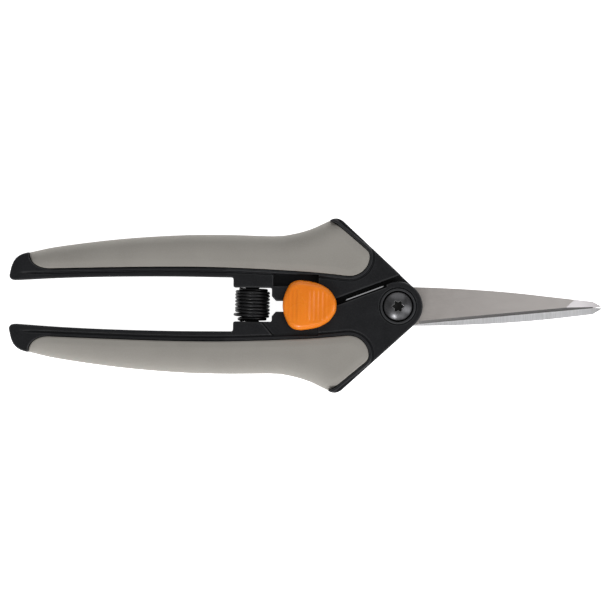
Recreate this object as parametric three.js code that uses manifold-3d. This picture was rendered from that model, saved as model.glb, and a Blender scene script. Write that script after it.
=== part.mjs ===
// Floral snips: two spring-loaded handles with soft grips, two narrow blades on one screw, and a sliding lock.
// Millimetres. +X runs along the closed tool to the blade tips, +Y across it to the upper handle and +Z through
// its thickness to the lock button. Parts are drawn with the origin on the pivot axis at the plane where the
// blades meet. The whole tool is then raised, so that its origin is on the back end of the pivot screw.
// Both handles share one plan. It is drawn here as the upper handle, whose pivot plate is the rear layer.
// The lower handle is the same body turned half a turn about the X axis, so its pivot plate is the front layer.

import * as THREE from 'three';
import { mergeVertices } from 'three/addons/utils/BufferGeometryUtils.js';
import Module from 'manifold-3d';

const wasm = await Module();
wasm.setup();

// ---- driving dimensions -------------------------------------------------------------------------------------

const FACE = 5.5; // half thickness of the hard handle core
const GRIP_CROWN = 6.5; // half thickness of the soft grip at its fullest
const GROOVE = 0.15; // half of the parting groove between core and grip
const LAP = 0.1; // gap from the blade plane to each handle's pivot plate
const BLADE_GAP = 0.05; // gap from the blade plane to each blade
const BLADE_BACK = 2.0; // distance from the blade plane to the outer face of each blade
const BEVEL_WIDTH = 0.85; // width of the ground bevel along the cutting edge
const EDGE_LAND = 0.35; // thickness left at the cutting edge, measured from the blade plane
const LAYER_ROOT = 2.4; // how far the lapped layer reaches past the blade plane
const SQUARE_DEPTH = 2.6; // depth of the pivot plate's inner side, which keeps square edges
const CHAMFER = 0.4; // chamfer round the outer faces of the core
const POCKET_GAP = 0.08; // clearance round the tang in its pocket

const WEB_HALF = 3.0; // half thickness of the core's web, which the grip wraps round
const WEB_REACH = 0.62; // the web's share of the way from the parting line to the outer edge
const WEB_ROOT = -0.08; // where the web starts, as such a share inside the core

const NOSE_RADIUS = 6.85; // rounded end of the pivot plates
const SLOT_ANGLE = 20.8 * Math.PI / 180; // slope of the parting slot beside the pivot
const SLOT_NEAR = 6.46; // distance from the pivot to the slot wall on the pivot plate
const SLOT_FAR = 7.92; // distance from the pivot to the slot wall on the lapped layer
const TANG_EDGE = 6.74; // distance from the pivot to the tang's edge, which shows inside the slot

const SEAT = 4.7; // distance from the centre line to each spring seat
const SEAT_LEFT = -45.7;
const SEAT_RIGHT = -35.0;
const SPRING_X = -40.4;
const BOSS_RADIUS = 1.85;
const BOSS_TAPER = 0.25; // how much narrower the boss is at its top
const BOSS_HEIGHT = 1.5;
const SPRING_COILS = 9;
const SPRING_WIRE = 0.42; // radius of the wire
const SPRING_END = 3.1; // mean radius of the end coils
const SPRING_MIDDLE = 4.25; // and of the coils halfway

const UPPER_TAB = 1.1; // height of the upper handle's tab edge above the centre line
const LOWER_TAB = 1.85; // depth of the lower handle's tab edge below the centre line

const SCREW_END = -7.0; // the flat back end of the screw, on which the tool rests
const SHANK_RADIUS = 2.0;
const SHANK_END = -4.0; // the shoulder at the end of the shank
const THREAD_RADIUS = 1.6;
const SEATING = 4.7; // height of the screw head's underside, and of the nut's inner face on the other side
const HEAD_RADIUS = 3.95;
const HEAD_TOP = 6.95;
const COUNTERBORE_RADIUS = 4.3;
const COUNTERBORE_FLOOR = 4.2;
const COLLAR_RADIUS = 4.95;
const COLLAR_TOP = 5.85;

const LOCK_TRAVEL = 4.0;
const LOCK_GAP = 0.25; // clearance round the lock's leg and stem
const BUTTON_LEFT = -32.0;
const BUTTON_RIGHT = -17.05;
const BUTTON_BASE = 5.8;
const BUTTON_TOP = 8.8;
const LEG = { x: -25.5, y: 6.05, width: 3.0, depth: 1.2, foot: 2.6 };
const STEM = { x: -23.0, y: -4.6, width: 3.0, depth: 1.8 };
const POCKET_FLOOR = LEG.foot - 0.4;
const WELL_FLOOR = 4.2; // depth of the retainer's well, from the blade plane
const PIN_RADIUS = 0.75;

const STEEL = { color: 0x9b9692, roughness: 0.35, metalness: 1.0 };
const DARK_STEEL = { color: 0x46474a, roughness: 0.4, metalness: 0.9 };
const BLACK_PLASTIC = { color: 0x26272a, roughness: 0.6, metalness: 0.0 };
const GREY_GRIP = { color: 0x8c8780, roughness: 0.8, metalness: 0.0 };
const ORANGE = { color: 0xe98226, roughness: 0.45, metalness: 0.0 };

// ---- solids -------------------------------------------------------------------------------------------------

function solid(geometry) {
  const bare = geometry.clone();
  bare.deleteAttribute('normal');
  bare.deleteAttribute('uv');
  const joined = mergeVertices(bare, 1e-5);
  return new wasm.Manifold(new wasm.Mesh({
    numProp: 3,
    vertProperties: new Float32Array(joined.attributes.position.array),
    triVerts: new Uint32Array(joined.index.array),
  }));
}

function asMesh(name, body, finish) {
  const out = body.getMesh();
  const geometry = new THREE.BufferGeometry();
  geometry.setAttribute('position', new THREE.BufferAttribute(new Float32Array(out.vertProperties), 3));
  geometry.setIndex(new THREE.BufferAttribute(new Uint32Array(out.triVerts), 1));
  geometry.computeVertexNormals();
  const mesh = new THREE.Mesh(geometry, new THREE.MeshStandardMaterial(finish));
  mesh.name = name;
  return mesh;
}

// A plate between two heights with an optional chamfer all round both faces.
function plate(points, low, high, chamfer = 0) {
  const geometry = new THREE.ExtrudeGeometry(new THREE.Shape(points), {
    depth: high - low - 2 * chamfer,
    bevelEnabled: chamfer > 0,
    bevelThickness: chamfer,
    bevelSize: chamfer,
    bevelOffset: -chamfer,
    bevelSegments: 1,
  });
  geometry.translate(0, 0, low + chamfer);
  return solid(geometry);
}

function disc(radius, low, high, sides = 40) {
  const geometry = new THREE.CylinderGeometry(radius, radius, high - low, sides);
  geometry.rotateX(Math.PI / 2);
  geometry.translate(0, 0, (high + low) / 2);
  return solid(geometry);
}

function block(x0, x1, y0, y1, z0, z1) {
  const geometry = new THREE.BoxGeometry(x1 - x0, y1 - y0, z1 - z0);
  geometry.translate((x0 + x1) / 2, (y0 + y1) / 2, (z0 + z1) / 2);
  return solid(geometry);
}

function turned(profile, sides = 40) {
  const points = profile.map(([radius, height]) => new THREE.Vector2(radius, height));
  const geometry = new THREE.LatheGeometry(points, sides);
  geometry.rotateX(Math.PI / 2);
  return solid(geometry);
}

// Half a turn about the X axis: carries the upper handle's shape to the lower handle.
function halfTurn(body) {
  return body.rotate([180, 0, 0]);
}

// ---- plan curves of the upper handle ------------------------------------------------------------------------

const v = (x, y) => new THREE.Vector2(x, y);

// A point given along and out from the parting slot, on the rear (side -1) or the front of the upper handle.
function slotPoint(along, out, side) {
  const x = along * Math.cos(SLOT_ANGLE) - out * Math.sin(SLOT_ANGLE);
  const y = along * Math.sin(SLOT_ANGLE) + out * Math.cos(SLOT_ANGLE);
  return v(x, side * y);
}

// Where a slot wall crosses a given height.
function slotAtHeight(height, out, side) {
  const along = (side * height - out * Math.cos(SLOT_ANGLE)) / Math.sin(SLOT_ANGLE);
  return slotPoint(along, out, side);
}

const GRIP_START = v(-102.5, 13.85); // the grip meets the outer edge near the tail
const GRIP_END = v(-19.2, 23.6); // and again at the shoulder
const SHOULDER = v(-15.4, 23.45); // start of the straight shoulder edge
const WAIST = v(-35, 19.15); // the narrowest place of the outer edge, beside the spring
const TAIL_STATIONS = 20; // cross-sections of the grip from the tail to the waist
const SHOULDER_STATIONS = 24; // and from the waist round the wide end

// Points along a path, close together where the grip runs out at the tail and wider apart further on.
function stretched(path, count) {
  const points = [];
  for (let i = 0; i <= count; i += 1) {
    points.push(path.getPointAt((i / count) ** 1.7));
  }
  return points;
}

function outerEdgeTail() {
  const path = new THREE.Path();
  path.moveTo(GRIP_START.x, GRIP_START.y);
  path.splineThru([v(-94, 15.65), v(-77.3, 17.85), v(-60.6, 19.1), v(-47, 19.35), WAIST]);
  return stretched(path, TAIL_STATIONS);
}

function outerEdgeShoulder() {
  const path = new THREE.Path();
  path.moveTo(WAIST.x, WAIST.y);
  path.splineThru([v(-30, 19.65), v(-24.5, 21.15), GRIP_END]);
  return path.getSpacedPoints(SHOULDER_STATIONS);
}

function gripEdgeTail() {
  const path = new THREE.Path();
  path.moveTo(GRIP_START.x, GRIP_START.y);
  path.bezierCurveTo(-102.5, 11.3, -100.2, 9.45, -96.9, 9.4);
  path.splineThru([v(-84, 9.8), v(-67.4, 10.2), v(-52, 10.28), v(-38.2, 9.9), v(-32, 9.6)]);
  return stretched(path, TAIL_STATIONS);
}

function gripEdgeShoulder() {
  const path = new THREE.Path();
  path.moveTo(-32, 9.6);
  path.splineThru([v(-26, 9.3), v(-20, 8.85), v(-14.4, 8.3)]);
  path.bezierCurveTo(-10.9, 7.9, -8.3, 10.3, -8.0, 13.2);
  path.bezierCurveTo(-7.9, 14.6, -8.3, 15.1, -9.2, 15.85);
  path.lineTo(-17.2, 22.6);
  path.lineTo(GRIP_END.x, GRIP_END.y);
  return path.getSpacedPoints(SHOULDER_STATIONS);
}

function withoutRepeats(points) {
  return points.filter((p, i) => i === 0 || p.distanceTo(points[i - 1]) > 1e-4);
}

// Outer edge from the spring seat's inner corner round the tail and along the back to the shoulder.
function handleBack() {
  const path = new THREE.Path();
  path.moveTo(-46.3, 7.5);
  path.splineThru([v(-63, 7.56), v(-80, 7.3), v(-93.8, 6.8), v(-106.2, 6.05)]);
  path.quadraticCurveTo(-107.75, 6.0, -107.85, 7.4);
  path.bezierCurveTo(-107.2, 10.7, -106.8, 13.1, GRIP_START.x, GRIP_START.y);
  const tail = path.getPoints(5);
  return withoutRepeats([...tail, ...outerEdgeTail(), ...outerEdgeShoulder()]);
}

function shoulderTip() {
  const curve = new THREE.QuadraticBezierCurve(GRIP_END, v(-17.4, 24.9), SHOULDER);
  return curve.getPoints(5);
}

// The inner edge by the spring: from the parting edge of the tab, round the seat, back to the inner corner.
function springSeat(tab) {
  return [
    v(SEAT_RIGHT + 1.15, tab),
    v(SEAT_RIGHT, tab + 1.3),
    v(SEAT_RIGHT, SEAT - 0.3),
    v(SEAT_RIGHT - 0.3, SEAT),
    v(SEAT_LEFT + 0.4, SEAT),
    v(SEAT_LEFT, SEAT + 0.4),
    v(SEAT_LEFT, 6.9),
    v(SEAT_LEFT - 0.2, 7.3),
  ];
}

function noseArc(fromAngle, toAngle, count) {
  const points = [];
  for (let i = 0; i <= count; i += 1) {
    const angle = fromAngle + (toAngle - fromAngle) * i / count;
    points.push(v(NOSE_RADIUS * Math.cos(angle), NOSE_RADIUS * Math.sin(angle)));
  }
  return points;
}

// The angle at which the shoulder's straight edge touches the nose.
function shoulderTangent() {
  return Math.atan2(SHOULDER.y, SHOULDER.x) - Math.acos(NOSE_RADIUS / SHOULDER.length());
}

// Plan of the layer that carries the pivot plate.
function pivotLayer(tab) {
  const swing = Math.acos(SLOT_NEAR / NOSE_RADIUS);
  const wallEnd = -(Math.PI / 2 + SLOT_ANGLE + swing);
  return withoutRepeats([
    ...handleBack(),
    ...shoulderTip(),
    ...noseArc(shoulderTangent(), wallEnd, 22),
    slotAtHeight(tab, SLOT_NEAR, -1),
    ...springSeat(tab),
  ]);
}

// Plan of the layer that is lapped over by the other handle's pivot plate.
function lappedLayer(tab) {
  const tangent = shoulderTangent();
  const edge = v(NOSE_RADIUS * Math.cos(tangent), NOSE_RADIUS * Math.sin(tangent));
  const slope = (SHOULDER.y - edge.y) / (SHOULDER.x - edge.x);
  const wall = slotPoint(0, SLOT_FAR, 1);
  const rise = Math.tan(SLOT_ANGLE);
  const x = (wall.y - rise * wall.x - SHOULDER.y + slope * SHOULDER.x) / (slope - rise);
  return withoutRepeats([
    ...handleBack(),
    ...shoulderTip(),
    v(x, wall.y + rise * (x - wall.x)),
    slotAtHeight(tab, SLOT_FAR, 1),
    ...springSeat(tab),
  ]);
}

// ---- soft grip ----------------------------------------------------------------------------------------------

// Pairs of points, one on the parting line against the core and one on the outer edge.
function gripStations(groove) {
  const inner = withoutRepeats([...gripEdgeTail(), ...gripEdgeShoulder()]);
  const backs = withoutRepeats([...outerEdgeTail(), ...outerEdgeShoulder()]);
  const stations = [];
  for (let i = 1; i < inner.length - 1; i += 1) {
    const along = inner[i + 1].clone().sub(inner[i - 1]).normalize();
    const normal = v(-along.y, along.x);
    const edge = inner[i].clone().addScaledVector(normal, groove);
    stations.push([edge, backs[i]]);
  }
  return stations;
}

function between(a, b, share) {
  return a.clone().lerp(b, share);
}

// Half thickness of the grip at a share of the way from the parting line to the outer edge.
function crown(share) {
  const lip = 0.6 * Math.min(1, share / 0.08);
  const round = Math.sqrt(Math.max(0, 1 - share ** 3.2));
  return (GRIP_CROWN - 0.6 + lip) * round;
}

function gripBody(groove) {
  const shares = [0, 0.08, 0.35, 0.6, 0.8, 0.92, 0.985];
  const rings = gripStations(groove).map(([edge, back]) => {
    const top = shares.map((s) => ({ p: between(edge, back, s), z: crown(s) }));
    const bottom = [...top].reverse().map(({ p, z }) => ({ p, z: -z }));
    return [...top, { p: back, z: 0 }, ...bottom];
  });
  const count = rings[0].length;
  const positions = rings.flat().flatMap(({ p, z }) => [p.x, p.y, z]);
  const index = [];
  for (let i = 0; i < rings.length - 1; i += 1) {
    for (let k = 0; k < count; k += 1) {
      const a = i * count + k;
      const b = i * count + (k + 1) % count;
      index.push(a, a + count, b, b, a + count, b + count);
    }
  }
  const last = (rings.length - 1) * count;
  for (let k = 1; k < count - 1; k += 1) {
    index.push(0, k, k + 1);
    index.push(last, last + k + 1, last + k);
  }
  const geometry = new THREE.BufferGeometry();
  geometry.setAttribute('position', new THREE.Float32BufferAttribute(positions, 3));
  geometry.setIndex(index);
  return solid(geometry);
}

// Plan of the core's thin web, which the grip wraps round.
function webPlan(reach, root) {
  const stations = gripStations(0).slice(3, -5);
  const near = stations.map(([edge, back]) => between(edge, back, root));
  const far = stations.map(([edge, back]) => between(edge, back, reach));
  return [...near, ...far.reverse()];
}

// Everything on the grip's side of the parting groove, so the core can be cut back to it.
function gripSide() {
  const stations = gripStations(-GROOVE);
  const edge = stations.map(([near]) => near);
  const out = stations.map(([, back]) => back.clone().add(v(0, 4)));
  const start = GRIP_START.clone().add(v(-0.2, 0.6));
  const end = GRIP_END.clone().add(v(0.3, 0.9));
  return [start, ...edge, end, ...out.reverse()];
}

// ---- blades -------------------------------------------------------------------------------------------------

const EDGE_START = v(6.0, 4.82);
// Each blade's tip, the end of its ground edge and the corner where its spine turns to the tip.
const REAR_POINT = { tip: v(57.05, 0.1), edge: v(54.3, 0.25), corner: v(54.3, -1.58) };
const FRONT_POINT = { tip: v(56.8, -0.6), edge: v(54.3, -0.12), corner: v(54.2, -1.92) };
const OVERCUT = 0.05; // how far a cutting wedge stands clear of the face that it cuts
const THROUGH = 1; // how far a cut runs on past the body that it goes through

// Plan of the blade in the upper handle: the spine is on the far side, the cutting edge faces the other blade.
function bladePlan(point, clearance = 0) {
  const spine = new THREE.SplineCurve([
    point.corner, v(43, -3.04), v(32, -4.12), v(20.8, -4.86), v(10, -5.27), v(-1.2, -5.45),
  ]).getPoints(36);
  const tang = [
    slotPoint(-1.9, TANG_EDGE, -1),
    slotPoint(-12.66, TANG_EDGE, -1),
    v(-15.4, 0.2),
    v(-17.6, 7.4),
    v(-26.0, 11.4),
    v(-24.8, 14.4),
    v(-14.0, 11.4),
    v(-2.0, 6.0),
    v(3.0, 5.4),
  ];
  const outline = [point.tip, ...spine, ...tang, EDGE_START, point.edge];
  return clearance > 0 ? grown(outline, clearance) : outline;
}

// An outline moved outwards by a distance. Points run clockwise.
function grown(points, distance) {
  return points.map((p, i) => {
    const before = points[(i + points.length - 1) % points.length];
    const after = points[(i + 1) % points.length];
    const a = p.clone().sub(before).normalize();
    const b = after.clone().sub(p).normalize();
    const normal = v(-a.y - b.y, a.x + b.x).normalize();
    return p.clone().addScaledVector(normal, distance);
  });
}

// The ground bevel along the cutting edge, as a wedge to take away from the blade's outer face.
function edgeBevel(edgeEnd) {
  const line = edgeEnd.clone().sub(EDGE_START);
  const along = new THREE.Vector3(line.x, line.y, 0).normalize();
  const up = new THREE.Vector3(0, 0, 1);
  const across = new THREE.Vector3().crossVectors(up, along);
  const slope = (BLADE_BACK - EDGE_LAND) / BEVEL_WIDTH;
  const past = 1.0;
  const face = -BLADE_BACK - OVERCUT;
  const inside = -BLADE_GAP / 2;
  const wedge = new THREE.Shape([
    v(-BEVEL_WIDTH - OVERCUT / slope, face),
    v(past, face),
    v(past, inside),
    v((EDGE_LAND + inside) / slope, inside),
  ]);
  const geometry = new THREE.ExtrudeGeometry(wedge, { depth: line.length(), bevelEnabled: false });
  geometry.applyMatrix4(new THREE.Matrix4().makeBasis(across, up, along));
  geometry.translate(EDGE_START.x, EDGE_START.y, 0);
  return solid(geometry);
}

// The outer face drops away to a thin point along a slanting facet.
function tipFacet() {
  const corner = v(46.75, -0.2);
  const slope = 0.21;
  const reach = 9.0;
  const width = 24;
  const across = new THREE.Vector3(0.68, 0.73, 0).normalize();
  const up = new THREE.Vector3(0, 0, 1);
  const along = new THREE.Vector3().crossVectors(across, up);
  const face = -BLADE_BACK - OVERCUT;
  const wedge = new THREE.Shape([v(-OVERCUT / slope, face), v(reach, face), v(reach, slope * reach - BLADE_BACK)]);
  const geometry = new THREE.ExtrudeGeometry(wedge, { depth: width, bevelEnabled: false });
  geometry.translate(0, 0, -width / 2);
  geometry.applyMatrix4(new THREE.Matrix4().makeBasis(across, up, along));
  geometry.translate(corner.x, corner.y, 0);
  return solid(geometry);
}

function bladeBody(point) {
  const body = plate(bladePlan(point), -BLADE_BACK, -BLADE_GAP);
  const ground = body.subtract(edgeBevel(point.edge)).subtract(tipFacet());
  return ground.subtract(disc(SHANK_RADIUS + BLADE_GAP, -BLADE_BACK - THROUGH, THROUGH, 48));
}

// ---- handles ------------------------------------------------------------------------------------------------

// The tapered peg that centres one end of the spring.
function springBoss() {
  const sunk = 0.5;
  const length = BOSS_HEIGHT + sunk;
  const geometry = new THREE.CylinderGeometry(BOSS_RADIUS, BOSS_RADIUS - BOSS_TAPER, length, 20);
  geometry.translate(SPRING_X, SEAT + sunk - length / 2, 0);
  return solid(geometry);
}

function handleCore(tab) {
  let body = plate(pivotLayer(tab), -FACE, -LAP, CHAMFER);
  body = body.add(plate(pivotLayer(tab), -SQUARE_DEPTH, -LAP));
  body = body.add(plate(lappedLayer(tab), -LAYER_ROOT, FACE, CHAMFER));
  body = body.subtract(plate(gripSide(), -FACE - THROUGH, FACE + THROUGH));
  body = body.add(plate(webPlan(WEB_REACH, WEB_ROOT), -WEB_HALF, WEB_HALF));
  body = body.add(springBoss());
  body = body.add(disc(COLLAR_RADIUS, -COLLAR_TOP, -FACE + CHAMFER));
  body = body.subtract(disc(COUNTERBORE_RADIUS, -COLLAR_TOP - THROUGH, -COUNTERBORE_FLOOR));
  body = body.subtract(disc(SHANK_RADIUS + 0.3, -COLLAR_TOP - THROUGH, THROUGH));
  return body.subtract(plate(bladePlan(REAR_POINT, POCKET_GAP), -BLADE_BACK - POCKET_GAP, 0.5));
}

// The upper handle's front face has a pocket and a curved gate for the lock button's leg.
function lockPocket() {
  return block(-34.67, -22.05, 5.18, 8.51, POCKET_FLOOR, FACE + THROUGH);
}

// The gate follows the path that the leg takes about the pivot as the handles open.
function lockGate() {
  const inner = Math.hypot(LEG.x + LEG.width / 2, LEG.y - LEG.depth / 2) - LOCK_GAP;
  const outer = Math.hypot(LEG.x - LEG.width / 2, LEG.y + LEG.depth / 2) + LOCK_GAP;
  const start = Math.PI - Math.atan2(LEG.y - 0.45, -LEG.x);
  const end = Math.PI + 0.03;
  const steps = 6;
  const near = [];
  const far = [];
  for (let i = 0; i <= steps; i += 1) {
    const angle = start + (end - start) * i / steps;
    near.push(v(inner * Math.cos(angle), inner * Math.sin(angle)));
    far.push(v(outer * Math.cos(angle), outer * Math.sin(angle)));
  }
  return plate([...far, ...near.reverse()], POCKET_FLOOR, FACE + THROUGH);
}

// The lower handle has a through slot for the button's stem and a shallow well for the retainer on its back.
function guideSlot() {
  const slot = block(
    STEM.x - STEM.width / 2 - LOCK_TRAVEL - LOCK_GAP, STEM.x + STEM.width / 2 + LOCK_GAP,
    STEM.y - STEM.depth / 2 - 0.2, STEM.y + STEM.depth / 2 + 0.2,
    -FACE - THROUGH, FACE + THROUGH,
  );
  const well = block(-30.6, -19.4, -6.6, -2.6, -FACE - THROUGH, -WELL_FLOOR);
  return slot.add(well);
}

// ---- lock ---------------------------------------------------------------------------------------------------

function buttonPlan() {
  const path = new THREE.Path();
  path.moveTo(BUTTON_LEFT, 0);
  path.bezierCurveTo(BUTTON_LEFT, 2.0, -31.1, 3.9, -30.5, 5.1);
  path.bezierCurveTo(-29.9, 6.3, -28.6, 6.95, -26.9, 6.92);
  path.splineThru([v(-24.2, 6.55), v(-21.45, 5.8), v(-18.95, 4.2), v(-17.45, 2.1)]);
  path.quadraticCurveTo(BUTTON_RIGHT, 1.2, BUTTON_RIGHT, 0);
  const half = withoutRepeats(path.getPoints(4));
  const mirrored = half.slice(1, -1).reverse().map((p) => v(p.x, -p.y));
  return [...half, ...mirrored];
}

// Two runs of shallow grooves across the thumb rests.
function thumbGrooves() {
  const pitch = 1.2;
  const width = 0.4;
  const depth = 0.35;
  const halfLength = 3.6;
  const grooves = [];
  for (const run of [{ start: -30.7, count: 3 }, { start: -26.0, count: 6 }]) {
    for (let i = 0; i < run.count; i += 1) {
      const x = run.start + i * pitch;
      grooves.push(block(x, x + width, -halfLength, halfLength, BUTTON_TOP - depth, BUTTON_TOP + THROUGH));
    }
  }
  return grooves;
}

// A square post under the button, from its foot up into the button.
function post({ x, y, width, depth }, foot) {
  return block(x - width / 2, x + width / 2, y - depth / 2, y + depth / 2, foot, BUTTON_BASE + 0.5);
}

function lockButton() {
  const shoulder = -4.35;
  const pinEnd = -5.45;
  let body = plate(buttonPlan(), BUTTON_BASE, BUTTON_TOP, 0.9);
  for (const groove of thumbGrooves()) {
    body = body.subtract(groove);
  }
  body = body.add(post(LEG, LEG.foot));
  body = body.add(post(STEM, shoulder));
  const pin = disc(PIN_RADIUS, pinEnd, shoulder + 0.35, 20).translate([STEM.x, STEM.y, 0]);
  return body.add(pin);
}

function lockRetainer() {
  const corner = 0.6;
  const x = 3.1;
  const y = 1.7;
  const plan = [
    v(corner - x, -y), v(x - corner, -y), v(x, corner - y), v(x, y - corner),
    v(x - corner, y), v(corner - x, y), v(-x, y - corner), v(-x, corner - y),
  ];
  const body = plate(plan, -5.25, -4.4, 0.15).subtract(disc(PIN_RADIUS + 0.05, -6, -4, 20));
  return body.translate([STEM.x, STEM.y, 0]);
}

// ---- pivot --------------------------------------------------------------------------------------------------

// A six-lobe socket: a round core with six rounded lobes.
function sixLobe(radius, low, high) {
  const points = [];
  const steps = 48;
  const lobe = 0.14;
  for (let i = 0; i < steps; i += 1) {
    const angle = i * 2 * Math.PI / steps;
    const r = radius * (1 - lobe + lobe * Math.cos(6 * angle));
    points.push(v(r * Math.cos(angle), r * Math.sin(angle)));
  }
  return plate(points, low, high);
}

function pivotScrew() {
  const profile = [
    [0, SCREW_END], [THREAD_RADIUS - 0.4, SCREW_END], [THREAD_RADIUS, SCREW_END + 0.4],
    [THREAD_RADIUS, SHANK_END - 0.2], [SHANK_RADIUS, SHANK_END], [SHANK_RADIUS, SEATING],
    [HEAD_RADIUS - 0.2, SEATING], [HEAD_RADIUS, SEATING + 0.2], [HEAD_RADIUS, 5.6],
    [3.7, 6.05], [3.1, 6.45], [2.2, 6.75], [1.1, 6.92], [0, HEAD_TOP],
  ];
  return turned(profile, 48).subtract(sixLobe(1.6, 5.4, HEAD_TOP + THROUGH));
}

function washer(outer, low, high) {
  return disc(outer, low, high).subtract(disc(SHANK_RADIUS + 0.1, low - THROUGH, high + THROUGH));
}

function pivotNut() {
  const radius = 3.85;
  const end = -6.75;
  const bevel = turned([[0, end], [2.9, end], [radius, -6.2], [radius, -SEATING], [0, -SEATING]], 36);
  const hexagon = disc(radius, end - THROUGH, -SEATING + THROUGH, 6);
  return bevel.intersect(hexagon).subtract(disc(THREAD_RADIUS + 0.05, end - THROUGH, 0, 32));
}

// ---- return spring ------------------------------------------------------------------------------------------

// A helix whose coils widen from both ends to the middle.
class BarrelHelix extends THREE.Curve {
  getPoint(t, target = new THREE.Vector3()) {
    const angle = 2 * Math.PI * SPRING_COILS * t;
    const seated = 0.08;
    const share = Math.min(1, Math.max(0, (t - seated) / (1 - 2 * seated)));
    const swell = Math.sin(Math.PI * share) ** 0.55;
    const radius = SPRING_END + (SPRING_MIDDLE - SPRING_END) * swell;
    const y = (SEAT - SPRING_WIRE - 0.04) * (2 * t - 1);
    return target.set(SPRING_X + radius * Math.cos(angle), y, radius * Math.sin(angle));
  }
}

function returnSpring() {
  const wire = new THREE.Shape();
  wire.absarc(0, 0, SPRING_WIRE, 0, 2 * Math.PI);
  const geometry = new THREE.ExtrudeGeometry(wire, {
    steps: SPRING_COILS * 20, curveSegments: 3, bevelEnabled: false, extrudePath: new BarrelHelix(),
  });
  return solid(geometry);
}

// ---- assembly -----------------------------------------------------------------------------------------------

const upperCore = handleCore(UPPER_TAB).subtract(lockPocket()).subtract(lockGate());
const lowerCore = halfTurn(handleCore(LOWER_TAB)).subtract(guideSlot());
const webRoom = plate(webPlan(WEB_REACH + 0.06, -0.4), -WEB_HALF - 0.1, WEB_HALF + 0.1);
const upperGrip = gripBody(GROOVE).subtract(webRoom);

const snips = new THREE.Group();
snips.name = 'floral_snips';
snips.position.z = -SCREW_END;
snips.add(asMesh('upper_handle_core', upperCore, BLACK_PLASTIC));
snips.add(asMesh('lower_handle_core', lowerCore, BLACK_PLASTIC));
snips.add(asMesh('upper_grip', upperGrip, GREY_GRIP));
snips.add(asMesh('lower_grip', halfTurn(upperGrip), GREY_GRIP));
snips.add(asMesh('rear_blade', bladeBody(REAR_POINT), STEEL));
snips.add(asMesh('front_blade', halfTurn(bladeBody(FRONT_POINT)), STEEL));
snips.add(asMesh('pivot_screw', pivotScrew(), DARK_STEEL));
snips.add(asMesh('pivot_nut', pivotNut(), DARK_STEEL));
snips.add(asMesh('front_washer', washer(3.9, 4.25, 4.65), DARK_STEEL));
snips.add(asMesh('rear_washer', washer(4.0, -4.65, -4.25), DARK_STEEL));
snips.add(asMesh('return_spring', returnSpring(), DARK_STEEL));
snips.add(asMesh('lock_button', lockButton(), ORANGE));
snips.add(asMesh('lock_retainer', lockRetainer(), BLACK_PLASTIC));

export default snips;
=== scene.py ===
"""Floral snips: the looks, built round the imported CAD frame.

Shapes are worked out in millimetres from the pivot axis and the plane where the blades meet, then placed
in the frame. Moulded and turned parts are distance fields turned into meshes: closed plan outlines, the
height of their faces, and the rims, pockets and bores cut into them. The spring is a swept wire. The blades
and the washers keep their CAD shape. Both handles are drawn as the upper one, and a half turn carries the
second one to its place.
"""

import math

import bpy
import numpy as np
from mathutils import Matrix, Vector


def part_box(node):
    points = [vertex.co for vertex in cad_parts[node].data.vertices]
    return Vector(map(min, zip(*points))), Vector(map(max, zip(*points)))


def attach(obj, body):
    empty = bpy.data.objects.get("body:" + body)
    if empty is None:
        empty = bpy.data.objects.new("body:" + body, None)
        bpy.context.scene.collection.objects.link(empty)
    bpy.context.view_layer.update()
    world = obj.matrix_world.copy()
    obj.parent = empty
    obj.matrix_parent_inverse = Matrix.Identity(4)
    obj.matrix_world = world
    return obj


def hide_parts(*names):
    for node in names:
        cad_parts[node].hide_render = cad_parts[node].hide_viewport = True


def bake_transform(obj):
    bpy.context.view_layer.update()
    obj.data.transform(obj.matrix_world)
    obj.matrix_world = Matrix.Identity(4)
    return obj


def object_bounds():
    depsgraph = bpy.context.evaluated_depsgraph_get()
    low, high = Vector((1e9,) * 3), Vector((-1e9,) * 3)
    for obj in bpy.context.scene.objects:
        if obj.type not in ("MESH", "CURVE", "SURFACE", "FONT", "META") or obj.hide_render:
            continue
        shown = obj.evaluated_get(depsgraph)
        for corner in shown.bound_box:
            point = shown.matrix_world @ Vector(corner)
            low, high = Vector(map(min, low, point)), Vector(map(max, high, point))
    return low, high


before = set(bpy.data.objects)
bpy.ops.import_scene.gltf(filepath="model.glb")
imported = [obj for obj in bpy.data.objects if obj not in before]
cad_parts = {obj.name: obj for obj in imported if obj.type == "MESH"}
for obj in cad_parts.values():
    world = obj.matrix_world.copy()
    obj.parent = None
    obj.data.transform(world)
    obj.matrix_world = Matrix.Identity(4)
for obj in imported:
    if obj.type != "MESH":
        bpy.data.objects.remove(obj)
cad_low, cad_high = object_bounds()

MM = 0.001


def frame_mm(node, corner, axis):
    """A side of a CAD node's box in millimetres: corner 0 is its lowest, 1 its highest."""
    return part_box(node)[corner]["xyz".index(axis)] / MM


# ---- driving dimensions, from the frame ------------------

BLADE_PLANE = (frame_mm("front_blade", 0, "z") + frame_mm("rear_blade", 1, "z")) / 2
BLADE_BACK = frame_mm("front_blade", 1, "z") - BLADE_PLANE
FACE = frame_mm("upper_handle_core", 1, "z") - BLADE_PLANE
COLLAR_TOP = frame_mm("lower_handle_core", 1, "z") - BLADE_PLANE
GRIP_CROWN = frame_mm("upper_grip", 1, "z") - BLADE_PLANE
HEAD_RADIUS = frame_mm("pivot_screw", 1, "x")
HEAD_TOP = frame_mm("pivot_screw", 1, "z") - BLADE_PLANE
SPRING_X = (frame_mm("return_spring", 0, "x") + frame_mm("return_spring", 1, "x")) / 2
BUTTON_LEFT = frame_mm("lock_button", 0, "x")
BUTTON_RIGHT = frame_mm("lock_button", 1, "x")
BUTTON_TOP = frame_mm("lock_button", 1, "z") - BLADE_PLANE

# ---- the rest, in millimetres ----------------------------

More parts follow.
